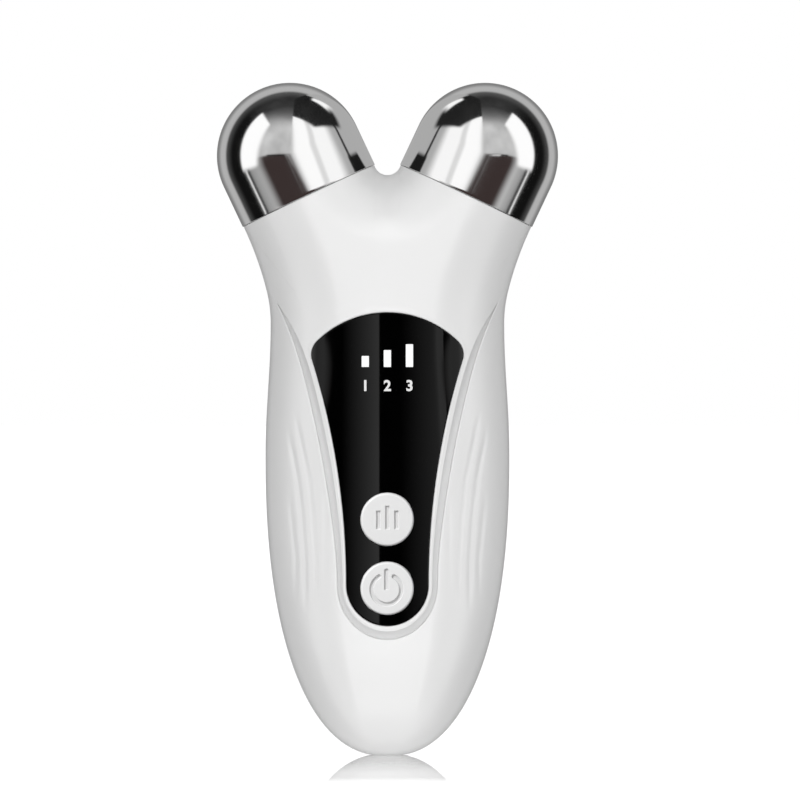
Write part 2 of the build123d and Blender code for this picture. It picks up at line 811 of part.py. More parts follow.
connector_top = connector_z + connector_height / 2
battery_top = battery_z + battery_height / 2
lead_start_y = battery_y + 2 * lead_radius
connector_y = board_back_y + connector_depth / 2
for name, x in (("red", -1.5), ("black", 1.5)):
    points = [
        (x, lead_start_y, battery_top),
        (x, lead_start_y, battery_top + 6.5),
        (x, lead_start_y - 3.0, connector_top + 7.0),
        (x, connector_y + 3.2, connector_top + 10.0),
        (x, connector_y, connector_top + 6.0),
        (x, connector_y, connector_top),
    ]
    parts["battery_lead_" + name] = lead(points)
    charge_x = 2.6 * x
    points = [
        (charge_x, charge_y - lead_radius, charge_board_top_z - 1.6),
        (charge_x, charge_y - lead_radius, charge_board_top_z + 2.5),
        (charge_x, charge_y - 2.4, charge_board_top_z + 7.0),
        (charge_x, lead_y + 0.6, board_low_z - 1.5),
        (charge_x, lead_y, board_low_z + 3.0),
    ]
    parts["charge_lead_" + name] = lead(points)

os.makedirs("parts", exist_ok=True)
for name, piece in parts.items():
    piece.label = name
    export_step(piece, "parts/" + name + ".step")
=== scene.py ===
import math

import bmesh
import bpy
import numpy as np
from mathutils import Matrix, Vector


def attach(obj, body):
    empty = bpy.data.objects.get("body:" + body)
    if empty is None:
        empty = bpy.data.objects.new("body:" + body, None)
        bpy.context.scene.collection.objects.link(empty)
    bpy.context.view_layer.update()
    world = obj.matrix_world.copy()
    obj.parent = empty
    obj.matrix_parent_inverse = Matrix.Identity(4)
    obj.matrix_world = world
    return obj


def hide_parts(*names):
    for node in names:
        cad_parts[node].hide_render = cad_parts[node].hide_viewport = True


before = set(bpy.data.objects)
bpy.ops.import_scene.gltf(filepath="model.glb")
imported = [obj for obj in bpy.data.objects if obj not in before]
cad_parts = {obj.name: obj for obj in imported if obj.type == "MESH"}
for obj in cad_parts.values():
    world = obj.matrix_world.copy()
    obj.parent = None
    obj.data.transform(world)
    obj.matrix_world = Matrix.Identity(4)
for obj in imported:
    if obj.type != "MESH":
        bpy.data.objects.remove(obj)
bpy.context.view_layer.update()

# Studio: one level camera, a white room, and a white floor with a faint polish that the tip stands on.
# Matt surfaces see soft light from both sides and from above. Polished ones see the soft boxes, strips
# and black flags that a product photographer sets up, and not the lamps for the casing and buttons.
def new_object(name, data):
    """A new object, linked into the scene."""
    thing = bpy.data.objects.new(name, data)
    bpy.context.scene.collection.objects.link(thing)
    return thing


eye = (0.0028, -2.4, 0.0792)
view_width = 0.1786
sensor = 36.0
camera = new_object("camera", bpy.data.cameras.new("camera"))
camera.location = eye
camera.rotation_euler = (math.pi / 2, 0, 0)
camera.data.sensor_width = sensor
camera.data.lens = -eye[1] * sensor / view_width
bpy.context.scene.camera = camera
bpy.context.scene.view_settings.view_transform = "Standard"


class Wire:
    """A node's output, on which + - * / ** add Math nodes to its tree."""

    def __init__(self, socket):
        self.socket = socket

    def math(self, operation, *others, last=False):
        """A Math node of this output and others; this one comes first, or last."""
        values = (*others, self) if last else (self, *others)
        return add_node(self.socket.id_data, "ShaderNodeMath", {"operation": operation}, dict(enumerate(values)))[0]

    def __add__(self, other):
        return self.math("ADD", other)

    def __sub__(self, other):
        return self.math("SUBTRACT", other)

    def __rsub__(self, other):
        return self.math("SUBTRACT", other, last=True)

    def __mul__(self, other):
        return self.math("MULTIPLY", other)

    def __truediv__(self, other):
        return self.math("DIVIDE", other)

    def __pow__(self, other):
        return self.math("POWER", other)

    __radd__ = __add__
    __rmul__ = __mul__


def add_node(tree, kind, settings, inputs):
    """A node of a type, with its settings made first and then the values or links of its inputs. A
    plain number for a colour is a grey. It gives the node's outputs by number and by name."""
    node = tree.nodes.new(kind)
    for key, value in settings.items():
        setattr(node, key, value)
    for key, value in inputs.items():
        socket = node.inputs[key]
        if isinstance(value, Wire):
            tree.links.new(value.socket, socket)
        elif socket.type == "RGBA":
            socket.default_value = (*value, 1) if isinstance(value, tuple) else (value, value, value, 1)
        else:
            socket.default_value = value
    outputs = {number: Wire(out) for number, out in enumerate(node.outputs)}
    outputs.update((out.name, Wire(out)) for out in node.outputs if out.enabled)
    return outputs


class Finish:
    """A material, or the room's world, whose nodes are made by node()."""

    def __init__(self, name, world=None):
        self.owner = world or bpy.data.materials.new(name)
        self.owner.use_nodes = True
        self.tree = self.owner.node_tree
        self.tree.nodes.clear()
        self.spot = self.node("ShaderNodeTexCoord")["Object"]

    def node(self, kind, settings={}, inputs={}, **named):
        """A node of this tree, whose inputs may also be named, with underscores for spaces."""
        named = {key.replace("_", " "): value for key, value in named.items()}
        return add_node(self.tree, kind, settings, {**inputs, **named})

    def place(self):
        """The three parts of the object's coordinates, in millimetres."""
        parts = self.node("ShaderNodeSeparateXYZ", Vector=self.spot)
        return parts["X"] * 1000, parts["Y"] * 1000, parts["Z"] * 1000

    def rise(self, value, low, high):
        """0 below one value, 1 above another, and smooth between them."""
        settings = {"interpolation_type": "SMOOTHSTEP"}
        return self.node("ShaderNodeMapRange", settings, Value=value, From_Min=low, From_Max=high)["Result"]

    def within(self, value, low, high, soft):
        """1 between two values and 0 outside them, with soft edges."""
        return self.rise(value, low - soft, low + soft) * (1 - self.rise(value, high - soft, high + soft))

    def noise(self, scale, detail=2.0, roughness=0.5, spot=None):
        """Noise of 0 to 1 at the object's coordinates, or at others."""
        spot = spot or self.spot
        return self.node("ShaderNodeTexNoise", Vector=spot, Scale=scale, Detail=detail, Roughness=roughness)["Fac"]

    def mix(self, factor, first, second):
        """One colour over another."""
        return self.node("ShaderNodeMix", {"data_type": "RGBA"}, {0: factor, 6: first, 7: second})[2]

    def end(self, shader):
        """Links the last shader to the output, and gives the material or world."""
        kind = "ShaderNodeOutputWorld" if isinstance(self.owner, bpy.types.World) else "ShaderNodeOutputMaterial"
        self.node(kind, Surface=shader)
        return self.owner

    def coat(self, factor, first, second, roughness, relief=None, depth=0.0, **inputs):
        """Finishes a material as one Principled BSDF. A factor takes its colour from a first one to a
        second, and a relief of 0 to 1, with its depth in metres, bends its normal."""
        if relief:
            inputs["Normal"] = self.node("ShaderNodeBump", Height=relief, Distance=depth)["Normal"]
        tint = self.mix(factor, first, second)
        self.end(self.node("ShaderNodeBsdfPrincipled", Base_Color=tint, Roughness=roughness, **inputs)["BSDF"])


bpy.context.scene.world = bpy.data.worlds.new("studio")
room = Finish("studio", bpy.context.scene.world)
generated = room.node("ShaderNodeTexCoord")["Generated"]
aim = room.node("ShaderNodeSeparateXYZ", Vector=generated)
rays = room.node("ShaderNodeLightPath")
sideways = aim["X"].math("ABSOLUTE")
towards = aim["Y"] * -1
up = aim["Z"]

# What polished metal sees, by the direction's parts: a grey room behind, black flags round the sides
# and the top, a tall soft box at either side, a pale grey front and the dark brown camera stand. The
# glossy panel, which faces the camera, sees two graded strips instead.
along_side = towards / (sideways + 0.001)
up_side = up / (sideways + 0.001)
side_light = room.rise(along_side, 0.25, 0.65) * (1 - room.rise(along_side, 2.0, 3.4))
soft_light = 0.06 + 0.62 * side_light + 0.42 * room.rise(up, 0.1, 1.0)
clouds = room.noise(2.2, 3.0, spot=generated)
behind = 1 - room.rise(towards, -0.58, -0.46)
behind_tone = 0.46 - 0.24 * (1 - room.rise(towards, -0.93, -0.72))
flag = room.within(towards, -0.52, 0.12, 0.05)
flag_tone = 0.006 + 0.06 * (1 - room.rise(towards, -0.52, -0.20)) + 0.05 * room.rise(up, 0.6, 0.95) * clouds
front_tone = (0.10 + 0.48 * room.rise(towards, 0.05, 0.75)) * (0.55 + 0.75 * clouds)
front_tone = front_tone * (1 - 0.6 * room.rise(up, 0.70, 0.97))
pattern = behind * behind_tone + (1 - behind) * (flag * flag_tone + (1 - flag) * front_tone)
box_edge = 0.80 + 0.2 * up_side
side_box = room.rise(along_side, 0.06, 0.15) * (1 - room.rise(along_side - box_edge, -0.16, 0.14))
side_box = side_box * room.within(up_side, -0.33, 1.56, 0.09)
line_low = 1 - room.rise(up_side, -0.4, -0.3)
line = room.within(along_side, 0.19, 0.25, 0.02) * line_low
dark_line = room.within(along_side, 0.27, 0.36, 0.04) * line_low
pattern = pattern * (1 - side_box) + side_box * 1.05
pattern = pattern * (1 - dark_line * 0.8) * (1 - line) + line * 0.8
shoulder = (sideways - 0.25).math("MAXIMUM", 0.0) ** 2
stand = room.rise(towards, 0.56, 0.76) * (1 - room.rise(up + 0.3 * shoulder, 0.0, 0.06))
stand_tone = (0.042, 0.030, 0.029)
graded = []
for start, full, end, past, tone in (-0.155, -0.03, -0.0290, -0.0282, 0.75), (0.04, 0.24, 0.41, 0.42, 0.65):
    growing = room.node("ShaderNodeMapRange", Value=aim["X"], From_Min=start, From_Max=full)["Result"] ** 1.3
    graded.append(growing * (1 - room.rise(aim["X"], end, past)) * tone)
level_ahead = room.rise(towards, 0.80, 0.82) * room.within(up, -0.024, 0.014, 0.003)
pattern = room.mix(stand, pattern, stand_tone)
pattern = room.mix(level_ahead, pattern, graded[0] + graded[1])
shown = room.mix(rays["Is Glossy Ray"], soft_light, pattern)
shown = room.mix(rays["Is Camera Ray"], shown, 1)
room.end(room.node("ShaderNodeBackground", Color=shown, Strength=1.0)["Background"])


def lit_only(lamp, place, direction):
    """Puts a lamp at a place, shining one way, on the pieces of its own collection only, so that no
    polished metal shows it. It gives that collection."""
    holder = new_object(lamp.name, lamp)
    holder.location = place
    holder.rotation_euler = Vector(direction).to_track_quat("-Z", "Y").to_euler()
    holder.visible_camera = False
    linking = holder.light_linking
    linking.receiver_collection = linking.blocker_collection = bpy.data.collections.new(lamp.name + "_lit")
    return linking.receiver_collection


# Two tall strip lights: one in front for the front shells, one behind for the back shell.
casing_lit = []
for name, side in (("front_strip", -1), ("back_strip", 1)):
    strip = bpy.data.lights.new(name, "AREA")
    strip.shape = "RECTANGLE"
    strip.size, strip.size_y = 0.62, 3.2
    strip.energy = 16.6
    casing_lit.append(lit_only(strip, (0, side * 1.5, -0.2), (0, -side, 0)))
button_lamp = bpy.data.lights.new("button_lamp", "SUN")
button_lamp.energy = 2.6
button_lamp.angle = math.radians(4)
buttons_lit = [lit_only(button_lamp, (0, 0, 0.5), (0.55, 0.55, -0.65))]


def flat_mesh(name, corners):
    """A stage surface of one face."""
    mesh = bpy.data.meshes.new(name)
    mesh.from_pydata(corners, [], [tuple(range(len(corners)))])
    surface = new_object(name, mesh)
    return surface


floor = flat_mesh("floor", [(-6, -1.6, 0), (6, -1.6, 0), (6, 30, 0), (-6, 30, 0)])
floor.visible_glossy = False
ground = Finish("floor")
x, y, z = ground.place()
away = (x * x + y * y) ** 0.5
path = ground.node("ShaderNodeLightPath")
lit = ground.node("ShaderNodeBsdfDiffuse", Color=0.9)["BSDF"]

# The floor glows for the camera, most at a low look, and lights the casing from below near the tip.
bounce = path["Is Diffuse Ray"] * (1 - ground.rise(away, 12.0, 60.0)) * 0.125
low_look = ground.rise(ground.node("ShaderNodeLayerWeight", Blend=0.5)["Facing"], 0.88, 0.94)
brightness = 0.08 + path["Is Camera Ray"] * (0.46 + 0.14 * low_look) + bounce
white = ground.node("ShaderNodeEmission", Color=1, Strength=brightness)["Emission"]
matt = ground.node("ShaderNodeAddShader", inputs={0: lit, 1: white})["Shader"]
polish = ground.node("ShaderNodeBsdfGlossy", Color=0.8, Roughness=0.0)["BSDF"]
fade = 0.82 - 0.30 * ground.rise(away, 30.0, 130.0) - 0.52 * ground.rise(away, 140.0, 185.0)

# The polish is kept to the tip's own mirror image, whose half width at a distance ahead is the tip's
# at the height that the camera's mirrored line of sight has there.
ahead = (y * -1).math("MAXIMUM", 0.0)
image_height = ahead * (eye[2] / -eye[1]) * (1 + ahead / (-eye[1] * 1000))
image_half = 6.2 * (0.3 + image_height) ** 0.427
fade = fade * (1 - ground.rise(x.math("ABSOLUTE") - image_half, 0.4, 1.6)) * (1 - ground.rise(y, -2.0, 6.0))
fade = fade * low_look
polished = ground.node("ShaderNodeMixShader", inputs={0: fade, 1: matt, 2: polish})["Shader"]
floor.data.materials.append(ground.end(polished))

# Cards that only polished surfaces see: a board between the heads, whose upright strips give the inner
# side of each dome its stripes, a small dark one before the camera stand, and low walls round the tip.
# Those are all but clear, and light only the floor, whose polish mirrors them as white.
corners = [(-0.45, 0.1305), (0.03, 0.1305), (0.03, 0.40), (-0.45, 0.40)]
divider = flat_mesh("divider_card", [(0, y, z) for y, z in corners])
corners = [(-0.05, 0.107), (0.05, 0.107), (0.05, 0.134), (-0.05, 0.134)]
stand_card = flat_mesh("stand_card", [(x, -0.3, z) for x, z in corners])
wall_line = [(-0.1, -0.25), (-0.1, 0.1), (0.1, 0.1), (0.1, -0.25)]
wall_height = 0.012
walls = [flat_mesh("low_wall", [(*a, 0), (*b, 0), (*b, wall_height), (*a, wall_height)])
         for a, b in zip(wall_line, wall_line[1:])]
for surface in (divider, stand_card, *walls):
    surface.visible_camera = surface.visible_diffuse = False
    surface.visible_shadow = surface.visible_transmission = False
card = Finish("divider_card")
x, y, z = card.place()
tone = 0.62 + 0.38 * card.rise(y, -300, -90) - 0.30 * card.rise(y, -46, -38)
tone = tone + 0.25 * card.rise(y, -35, -30) - 0.55 * card.rise(y, -20, -13)
tone = tone * (1 - card.within(y, -11.0, -9.6, 0.4)) + 0.02
tone = tone * (1 - card.rise(y, -10, -9)) + card.rise(y, -10, -9) * 0.42
hood = card.rise(z - 140 + y * 0.62, -1.0, 3.0) * card.rise(z - 157 + (y + 28) * 2.17, -4.0, 8.0)
hood = hood * (1 - card.rise(y - (z - 158) * 0.5, -3.0, 1.0))
tone = tone * (1 - hood) + (0.004 + 0.018 * card.noise(25.0)) * hood
wedge = (1 - card.rise(z, 137.0, 138.5)) * card.within(y, -11.5, -5.0, 0.5)
tone = tone * (1 - wedge) + 0.01 * wedge
glint = card.within(z, 160, 190, 5.0) * card.within(y - (z - 161) * 0.33, -3.4, 3.4, 1.5)
tone = tone * (1 - glint) + glint
glow = card.node("ShaderNodeEmission", Color=tone, Strength=1.0)["Emission"]
divider.data.materials.append(card.end(glow))
dark = Finish("stand_card")
glow = dark.node("ShaderNodeEmission", Color=stand_tone, Strength=1.0)["Emission"]
stand_card.data.materials.append(dark.end(glow))
bright = Finish("low_wall")
cover = 0.02
clear = bright.node("ShaderNodeBsdfTransparent")["BSDF"]
glow = bright.node("ShaderNodeEmission", Color=1, Strength=1.24 / cover)["Emission"]
bright.end(bright.node("ShaderNodeMixShader", inputs={0: cover, 1: clear, 2: glow})["Shader"])
floor_only = bpy.data.collections.new("floor_only")
floor_only.objects.link(floor)
for low_wall in walls:
    low_wall.data.materials.append(bright.owner)
    low_wall.light_linking.receiver_collection = floor_only

# Grip horseshoe: the front of the grip, outside the tongue, one of the casing's three white moulded
# shells. Shallow flutes for the fingers run down its sides, its edge along the tongue is rolled, and
# the mouth for the charging plug is cut at its tip.

# All three shells follow one surface: flat faces with round sides, a grip that closes to the tip, and
# two arms cut square to the tilted axes of the heads.
tilt = math.radians(25.3)
lean = np.array([math.sin(tilt), math.cos(tilt)])
square = np.array([math.cos(tilt), -math.sin(tilt)])
arm_end = np.array([17.5, 124.66])
arm_radius = 16.1
depth = 16.0
side_band = 0.25
side_round = depth - side_band
waist = arm_end[0] + square[0] * arm_radius - 6.0
waist_radius = 30.0
waist_x = waist + waist_radius
neck_radius = 78.0
neck_centre = arm_end + square * (arm_radius + neck_radius)
waist_z = neck_centre[1] + math.sqrt((neck_radius - waist_radius) ** 2 - (neck_centre[0] - waist_x) ** 2)
waist_turn = np.array([waist_x, waist_z]) - neck_centre
waist_turn /= np.hypot(*waist_turn)
fork_low = 129.4
fork_radius = -(arm_radius + square[1] * (fork_low - arm_end[1]) - square[0] * arm_end[0]) / (1 + square[1])
fork_z = fork_low + fork_radius
grip_wide = waist + 1.15
grip_z = 67.0
tip_round_z = 24.0
closing_z = -0.3
width_power = 2.3
depth_power = 2.2
wall = 2.0
thinnest = 0.3
seam_chamfer = 0.12


def closing_curve(z, start_z, power):
    """A superellipse that goes from 1 at a level to 0 at the closing level, just under the tip's end."""
    return (1 - np.clip((start_z - z) / (start_z - closing_z), 0, 1) ** power) ** (1 / power)


def eased(share):
    """Half a cosine wave that rises from 0 to 1."""
    return (1 - np.cos(np.pi * share)) / 2


def grip_width(z):
    """Half the grip's width: a superellipse closes it below its widest place, and half a cosine wave
    narrows it to the waist above."""
    above = np.clip((z - grip_z) / (waist_z - grip_z), 0, 1)
    return grip_wide * closing_curve(z, grip_z, width_power) - (grip_wide - waist) * eased(above)


def rim_distance(x, z):
    """Distance inwards from the outline of the waist and arms, in the front view: to the waist's arc,
    the neck's arc or the arm's straight side on the outside, and to the fork's arc or the arm's
    straight side between the arms, whichever is nearer."""
    x = np.abs(x)
    along = (x - arm_end[0]) * lean[0] + (z - arm_end[1]) * lean[1]
    aside = (x - arm_end[0]) * square[0] + (z - arm_end[1]) * square[1]
    neck = np.hypot(x - neck_centre[0], z - neck_centre[1]) - neck_radius
    low = np.hypot(x - waist_x, z - waist_z) - waist_radius
    above = waist_turn[0] * (z - neck_centre[1]) - waist_turn[1] * (x - neck_centre[0]) < 0
    outer = np.where(along > 0, arm_radius - aside, np.where(above, neck, low))
    outer = np.where(z < waist_z, waist - x, outer)
    fork = np.hypot(x, z - fork_z) - fork_radius
    beyond = x * lean[0] + (z - fork_z) * lean[1] > 0
    return np.minimum(outer, np.where(beyond, aside + arm_radius, fork))


def face_depth(x, z, crown=0.03):
    """Depth of the casing's face: flat in the middle, a quarter ellipse over the side rounding, and a
    quarter circle along the rim of the neck and arms. A low crown lessens it by a share that grows
    with the square of the distance from the middle, and fades out below the arms."""
    width = grip_width(z)
    corner = side_round * np.where(z < grip_z, width / grip_wide, 1.0) ** 0.8
    closing = depth * closing_curve(z, tip_round_z, depth_power)
    band = side_band * closing / depth
    into = np.clip((np.abs(x) - width + corner) / corner, 0, 1)
    grip = band + (closing - band) * np.sqrt(1 - into ** 2)
    near = np.clip(rim_distance(x, z), 0, side_round)
    arms = side_band + np.sqrt(side_round ** 2 - (side_round - near) ** 2)
    fade = 1 - np.clip((z - 98.0) / 24.0, 0, 1)
    crown = crown * fade * fade * (3 - 2 * fade)
    return np.where(z < waist_z, grip, arms) * (1 - crown * (x / 11.45) ** 2)


def lengths(line):
    """Length along a line at each of its points."""
    return np.concatenate([[0], np.cumsum(np.hypot(*np.diff(line, axis=0).T))])


def at_lengths(line, gone):
    """The places at given lengths along a line."""
    whole = lengths(line)
    return np.stack([np.interp(gone, whole, part) for part in line.T], 1)


def even(line, count):
    """The same line through a number of points at even lengths."""
    return at_lengths(line, np.linspace(0, lengths(line)[-1], count))


def arc(centre, radius, start, stop, count=80):
    """Points of an arc, by its angles in degrees."""
    turn = np.radians(np.linspace(start, stop, count))
    return np.stack([centre[0] + radius * np.cos(turn), centre[1] + radius * np.sin(turn)], 1)


def angle_of(line):
    """A direction's angle in degrees."""
    return math.degrees(math.atan2(line[1], line[0]))


def bend_through(points, start, stop):
    """A smooth line through points: cubic Hermite pieces whose slopes are those of the chord between
    the neighbours, with given directions at the two ends."""
    points = np.array(points, float)
    slopes = np.gradient(points, axis=0)
    slopes[0] = np.array(start) * np.hypot(*(points[1] - points[0]))
    slopes[-1] = np.array(stop) * np.hypot(*(points[-1] - points[-2]))
    t = np.linspace(0, 1, 60)[None, :, None]
    line = ((2 * t ** 3 - 3 * t ** 2 + 1) * points[:-1, None] + (t ** 3 - 2 * t ** 2 + t) * slopes[:-1, None]
            + (3 * t ** 2 - 2 * t ** 3) * points[1:, None] + (t ** 3 - t ** 2) * slopes[1:, None])
    return even(line.reshape(-1, 2), 600)


z_line = np.linspace(0, 1, 400) ** 1.6 * waist_z
side_line = np.concatenate([
    np.stack([grip_width(z_line), z_line], 1),
    arc((waist_x, waist_z), waist_radius, 180, angle_of(waist_turn))[1:],
    arc(neck_centre, neck_radius, angle_of(waist_turn), angle_of(-square))[1:],
])
tongue_half = 11.1
tongue_z = 38.2
turn = np.linspace(0, np.pi / 2, 90)
tongue_low = np.stack([tongue_half * np.sin(turn), tongue_z - 12.1 * np.cos(turn)], 1)
tongue_side = bend_through([(11.1, tongue_z), (13.6, 61.25), (18.3, 83.6), (22.9, 97.2), (28.1, 106.0)],
                           (0, 1), (0.7, 0.7))
meets = np.interp(tongue_side[:, 1], side_line[:, 1], side_line[:, 0]) - tongue_side[:, 0]
tongue_side = tongue_side[meets > 0.02]


def both_sides(line):
    """The mirror image of a half line from the bottom up, and then the half itself."""
    return np.concatenate([line[:0:-1] * (-1, 1), line])


def skin(flat, sink=0.0, **crown):
    """Points of the front face at places of the front view, sunk by a depth."""
    return np.stack([flat[..., 0], sink - face_depth(flat[..., 0], flat[..., 1], **crown), flat[..., 1]], -1)


def lining(flat):
    """The casing's inner face, a wall behind the outer one."""
    return skin(flat, np.minimum(wall, face_depth(flat[..., 0], flat[..., 1]) - thinnest))


def middle(flat):
    """Places of the front view on the middle plane, where the shells meet."""
    return np.stack([flat[..., 0], 0 * flat[..., 0], flat[..., 1]], -1)


def merge_points(mesh, apart):
    """Merges a mesh's points that are less than a distance apart, and turns its faces outwards."""
    work = bmesh.new()
    work.from_mesh(mesh)
    bmesh.ops.remove_doubles(work, verts=work.verts, dist=apart)
    bmesh.ops.recalc_face_normals(work, faces=work.faces)
    work.to_mesh(mesh)
    work.free()


def grid_mesh(name, points, rows_close=False, columns_close=False, capped=False, etched=None):
    """A mesh from a grid of points in millimetres, rows first: each cell is one face. Rows and
    columns may close on themselves, and a closed loop of rows may be capped at its two ends. Points
    that meet are merged, and faces are turned outwards. Each point may carry how much painted shade
    it takes."""
    rows, columns = points.shape[:2]
    index = np.arange(rows * columns).reshape(rows, columns)
    grid = np.concatenate([index, index[:1]]) if rows_close else index
    grid = np.concatenate([grid, grid[:, :1]], 1) if columns_close else grid
    faces = np.stack([grid[:-1, :-1], grid[:-1, 1:], grid[1:, 1:], grid[1:, :-1]], -1).reshape(-1, 4).tolist()
    if capped:
        faces += [index[:, 0].tolist(), index[::-1, -1].tolist()]
    mesh = bpy.data.meshes.new(name)
    mesh.from_pydata((points.reshape(-1, 3) / 1000).tolist(), [], faces)
    if etched is not None:
        mesh.attributes.new("etched", "FLOAT", "POINT").data.foreach_set("value", etched.ravel().astype(np.float32))
    merge_points(mesh, 1e-6)
    return mesh


def piece_of(mesh, body, slot, finish, *nodes, lit_by=()):
    """Puts a mesh into the scene as a piece: smooth but for its sharp edges, with its finish, on its
    body, in place of its CAD nodes, and in the collections of the lamps that light it."""
    mesh.shade_smooth()
    mesh.set_sharp_from_angle(angle=math.radians(38))
    mesh.materials.clear()
    mesh.materials.append(finish.owner)
    piece = new_object(mesh.name, mesh)
    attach(piece, body)
    if nodes:
        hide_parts(*nodes)
    for lit in lit_by:
        lit.objects.link(piece)
    return piece


def less(mesh, *tools):
    """A closed mesh with other closed meshes cut out of it."""
    block = new_object(mesh.name, mesh)
    cutters = [new_object("cutter", tool) for tool in tools]
    for cutter in cutters:
        step = block.modifiers.new("cut", "BOOLEAN")
        step.object = cutter
        step.solver = "EXACT"
    bpy.context.view_layer.update()
    result = bpy.data.meshes.new_from_object(block.evaluated_get(bpy.context.evaluated_depsgraph_get()))
    for thing in [block, *cutters]:
        bpy.data.objects.remove(thing)
    result.name = mesh.name
    return result


def prism(outline, low, high, turn=(0, 1, 2)):
    """A straight closed bar over an outline: the outline's two parts and the length go to the three
    axes in the given order."""
    ends = [np.concatenate([outline, np.full((len(outline), 1), end)], 1)[:, np.argsort(turn)] for end in (low, high)]
    return grid_mesh("prism", np.stack(ends, 1), rows_close=True, capped=True)


def round_slot(width, height):
    """Outline of a slot with round ends."""
    return np.concatenate([arc((width / 2 - height / 2, 0), height / 2, -90, 90, 24),
                           arc((height / 2 - width / 2, 0), height / 2, 90, 270, 24)])


# Satin white ABS: a fine moulded grain, slight differences of sheen and a trace of warmth, with painted
# shade that greys the sloping band along the tongue's edge.
white_shell = Finish("white_shell")
grain = white_shell.noise(9000.0, 3.0)
cloud = white_shell.noise(60.0, 3.0)
# The band along the tongue's edge is greyed by painted shade, which the mesh's points carry.
etched = white_shell.node("ShaderNodeAttribute", {"attribute_name": "etched"})["Fac"]
white_shell.coat(etched, white_shell.mix(cloud, 0.845, (0.865, 0.865, 0.862)), 0.74, 0.28 + 0.06 * cloud,
                 grain, 0.000004, Specular_IOR_Level=0.9)
inner = np.concatenate([even(tongue_low, 110), even(tongue_side[:-4], 150)[1:]])
tip = np.stack([np.linspace(0, side_line[0, 0], 20), np.zeros(20)], 1)
below = np.concatenate([tip[:-1], side_line[side_line[:, 1] < tongue_z + 1]])
ray = np.arctan2(inner[:110, 0], tongue_z - inner[:110, 1])
below_ray = np.arctan2(below[:, 0], tongue_z - below[:, 1])
outer = np.stack([np.interp(ray, below_ray, part) for part in below.T], 1)
across = np.interp(inner[110:, 1], side_line[:, 1], side_line[:, 0])
outer = both_sides(np.concatenate([outer, np.stack([across, inner[110:, 1]], 1)]))
inner = both_sides(inner)
flute_lines = [
    ([(21.9, 73.0), (21.6, 70.3), (19.9, 61.4), (18.9, 52.5), (18.3, 43.5), (18.2, 34.0)], 32.0, 74.0, 0.26),
    ([(20.4, 76.3), (19.3, 70.3), (17.4, 61.4), (16.5, 52.5), (15.9, 43.5), (15.85, 34.0)], 32.0, 77.0, 0.30),
    ([(21.6, 56.2), (21.2, 52.5), (20.3, 43.5), (20.4, 34.0)], 34.0, 60.0, 0.16),
    ([(13.7, 52.5), (13.8, 43.5), (14.2, 34.0)], 33.0, 60.0, 0.14),
]
flute_width = 0.55
flute_fade = 7.0


def flutes(flat):
    """Depth of the finger flutes: bell-shaped grooves along curved lines, fading at both ends."""
    x, z = np.abs(flat[..., 0]), flat[..., 1]
    sink = np.zeros_like(x)
    for spots, low, high, deep in flute_lines:
        line = np.array(spots)[::-1]
        fade = np.clip((z - low) / flute_fade, 0, 1) * np.clip((high - z) / flute_fade, 0, 1)
        sink += deep * fade * np.exp(-((x - np.interp(z, line[:, 1], line[:, 0])) / flute_width) ** 2)
    return sink


roll = 0.35
span = outer - inner
width = np.maximum(np.hypot(*span.T), 1e-6)
share = np.concatenate([
    np.minimum(np.array([0.0, 0.02, 0.06, 0.12, 0.2, 0.3, 0.45])[:, None] / np.maximum(width, 0.6), 0.7),
    1 - (1 - np.minimum(0.45 / np.maximum(width, 0.6), 0.7)) * (1 - np.linspace(0, 1, 66)[1:, None]) ** 1.8,
])
flat = inner + span * share[..., None]
edge = roll - np.sqrt(roll ** 2 - np.clip(roll - share * width, 0, roll) ** 2)
pulled = outer - span * np.minimum(wall / width, 0.45)[:, None]
back_rows = lining(inner + (pulled - inner) * np.linspace(1, 0, 12)[:, None, None])
face = skin(flat, edge + flutes(flat))
edge_row = face[-1] * (1, 0, 1)
edge_row[:, 1] = np.maximum(face[-1, :, 1] / 2, -seam_chamfer)
meeting = middle(np.stack([outer - span / width[:, None] * seam_chamfer, pulled]))
rows = np.concatenate([face, edge_row[None], meeting, back_rows])
plug_mouth = round_slot(9.54, 3.86)
grip_mesh = less(grid_mesh("grip_horseshoe", rows, rows_close=True, capped=True), prism(plug_mouth, -2, 6))
piece_of(grip_mesh, "body", "white_shell", white_shell, "front_grip", lit_by=casing_lit[:1])

# Neck and tongue: the front of the neck and arms, and the tongue that runs down between the legs of
# the grip and frames the panel, moulded in one piece. A sloping band follows the tongue's edge, greyed
# by painted shade, then a bright lip, then the pocket that the panel is glued into.
panel_round = 9.2
panel_side = 168.0
panel_arch = 22.5
panel_top = 98.7
panel_corner = 4.2
band_width = 1.9
band_depth = 0.85
lip_width = 0.9
lip_height = 0.12
lip_hollow = 0.06
ledge_width = 1.2
pocket_depth = 1.3
tongue_gap = 0.03
side_centre = np.array([panel_round + panel_side, tongue_z])
arch_centre = np.array([0.0, panel_top - panel_arch])
gap = side_centre - arch_centre
apart = np.hypot(*gap)
along = ((panel_arch - panel_corner) ** 2 - (panel_side + panel_corner) ** 2 + apart ** 2) / (2 * apart)
aside = math.sqrt((panel_arch - panel_corner) ** 2 - along ** 2)
corner_centre = arch_centre + gap / apart * along + np.array([-gap[1], gap[0]]) / apart * aside
side_turn = angle_of(corner_centre - side_centre) % 360
arch_turn = angle_of(corner_centre - arch_centre)
panel_line = np.concatenate([
    arc((0, tongue_z), panel_round, -90, 0, 60),
    arc(side_centre, panel_side, 180, side_turn, 120)[1:],
    arc(corner_centre, panel_corner, side_turn - 180, arch_turn, 40)[1:],
    arc(arch_centre, panel_arch, arch_turn, 90, 60)[1:],
])
tongue_top = tongue_side[-1]
seam_out = arm_end + square * arm_radius
seam_in = arm_end - square * arm_radius
seam_share = eased(np.linspace(0, 1, 120)[:, None])
seam = seam_out * (1 - seam_share) + seam_in * seam_share
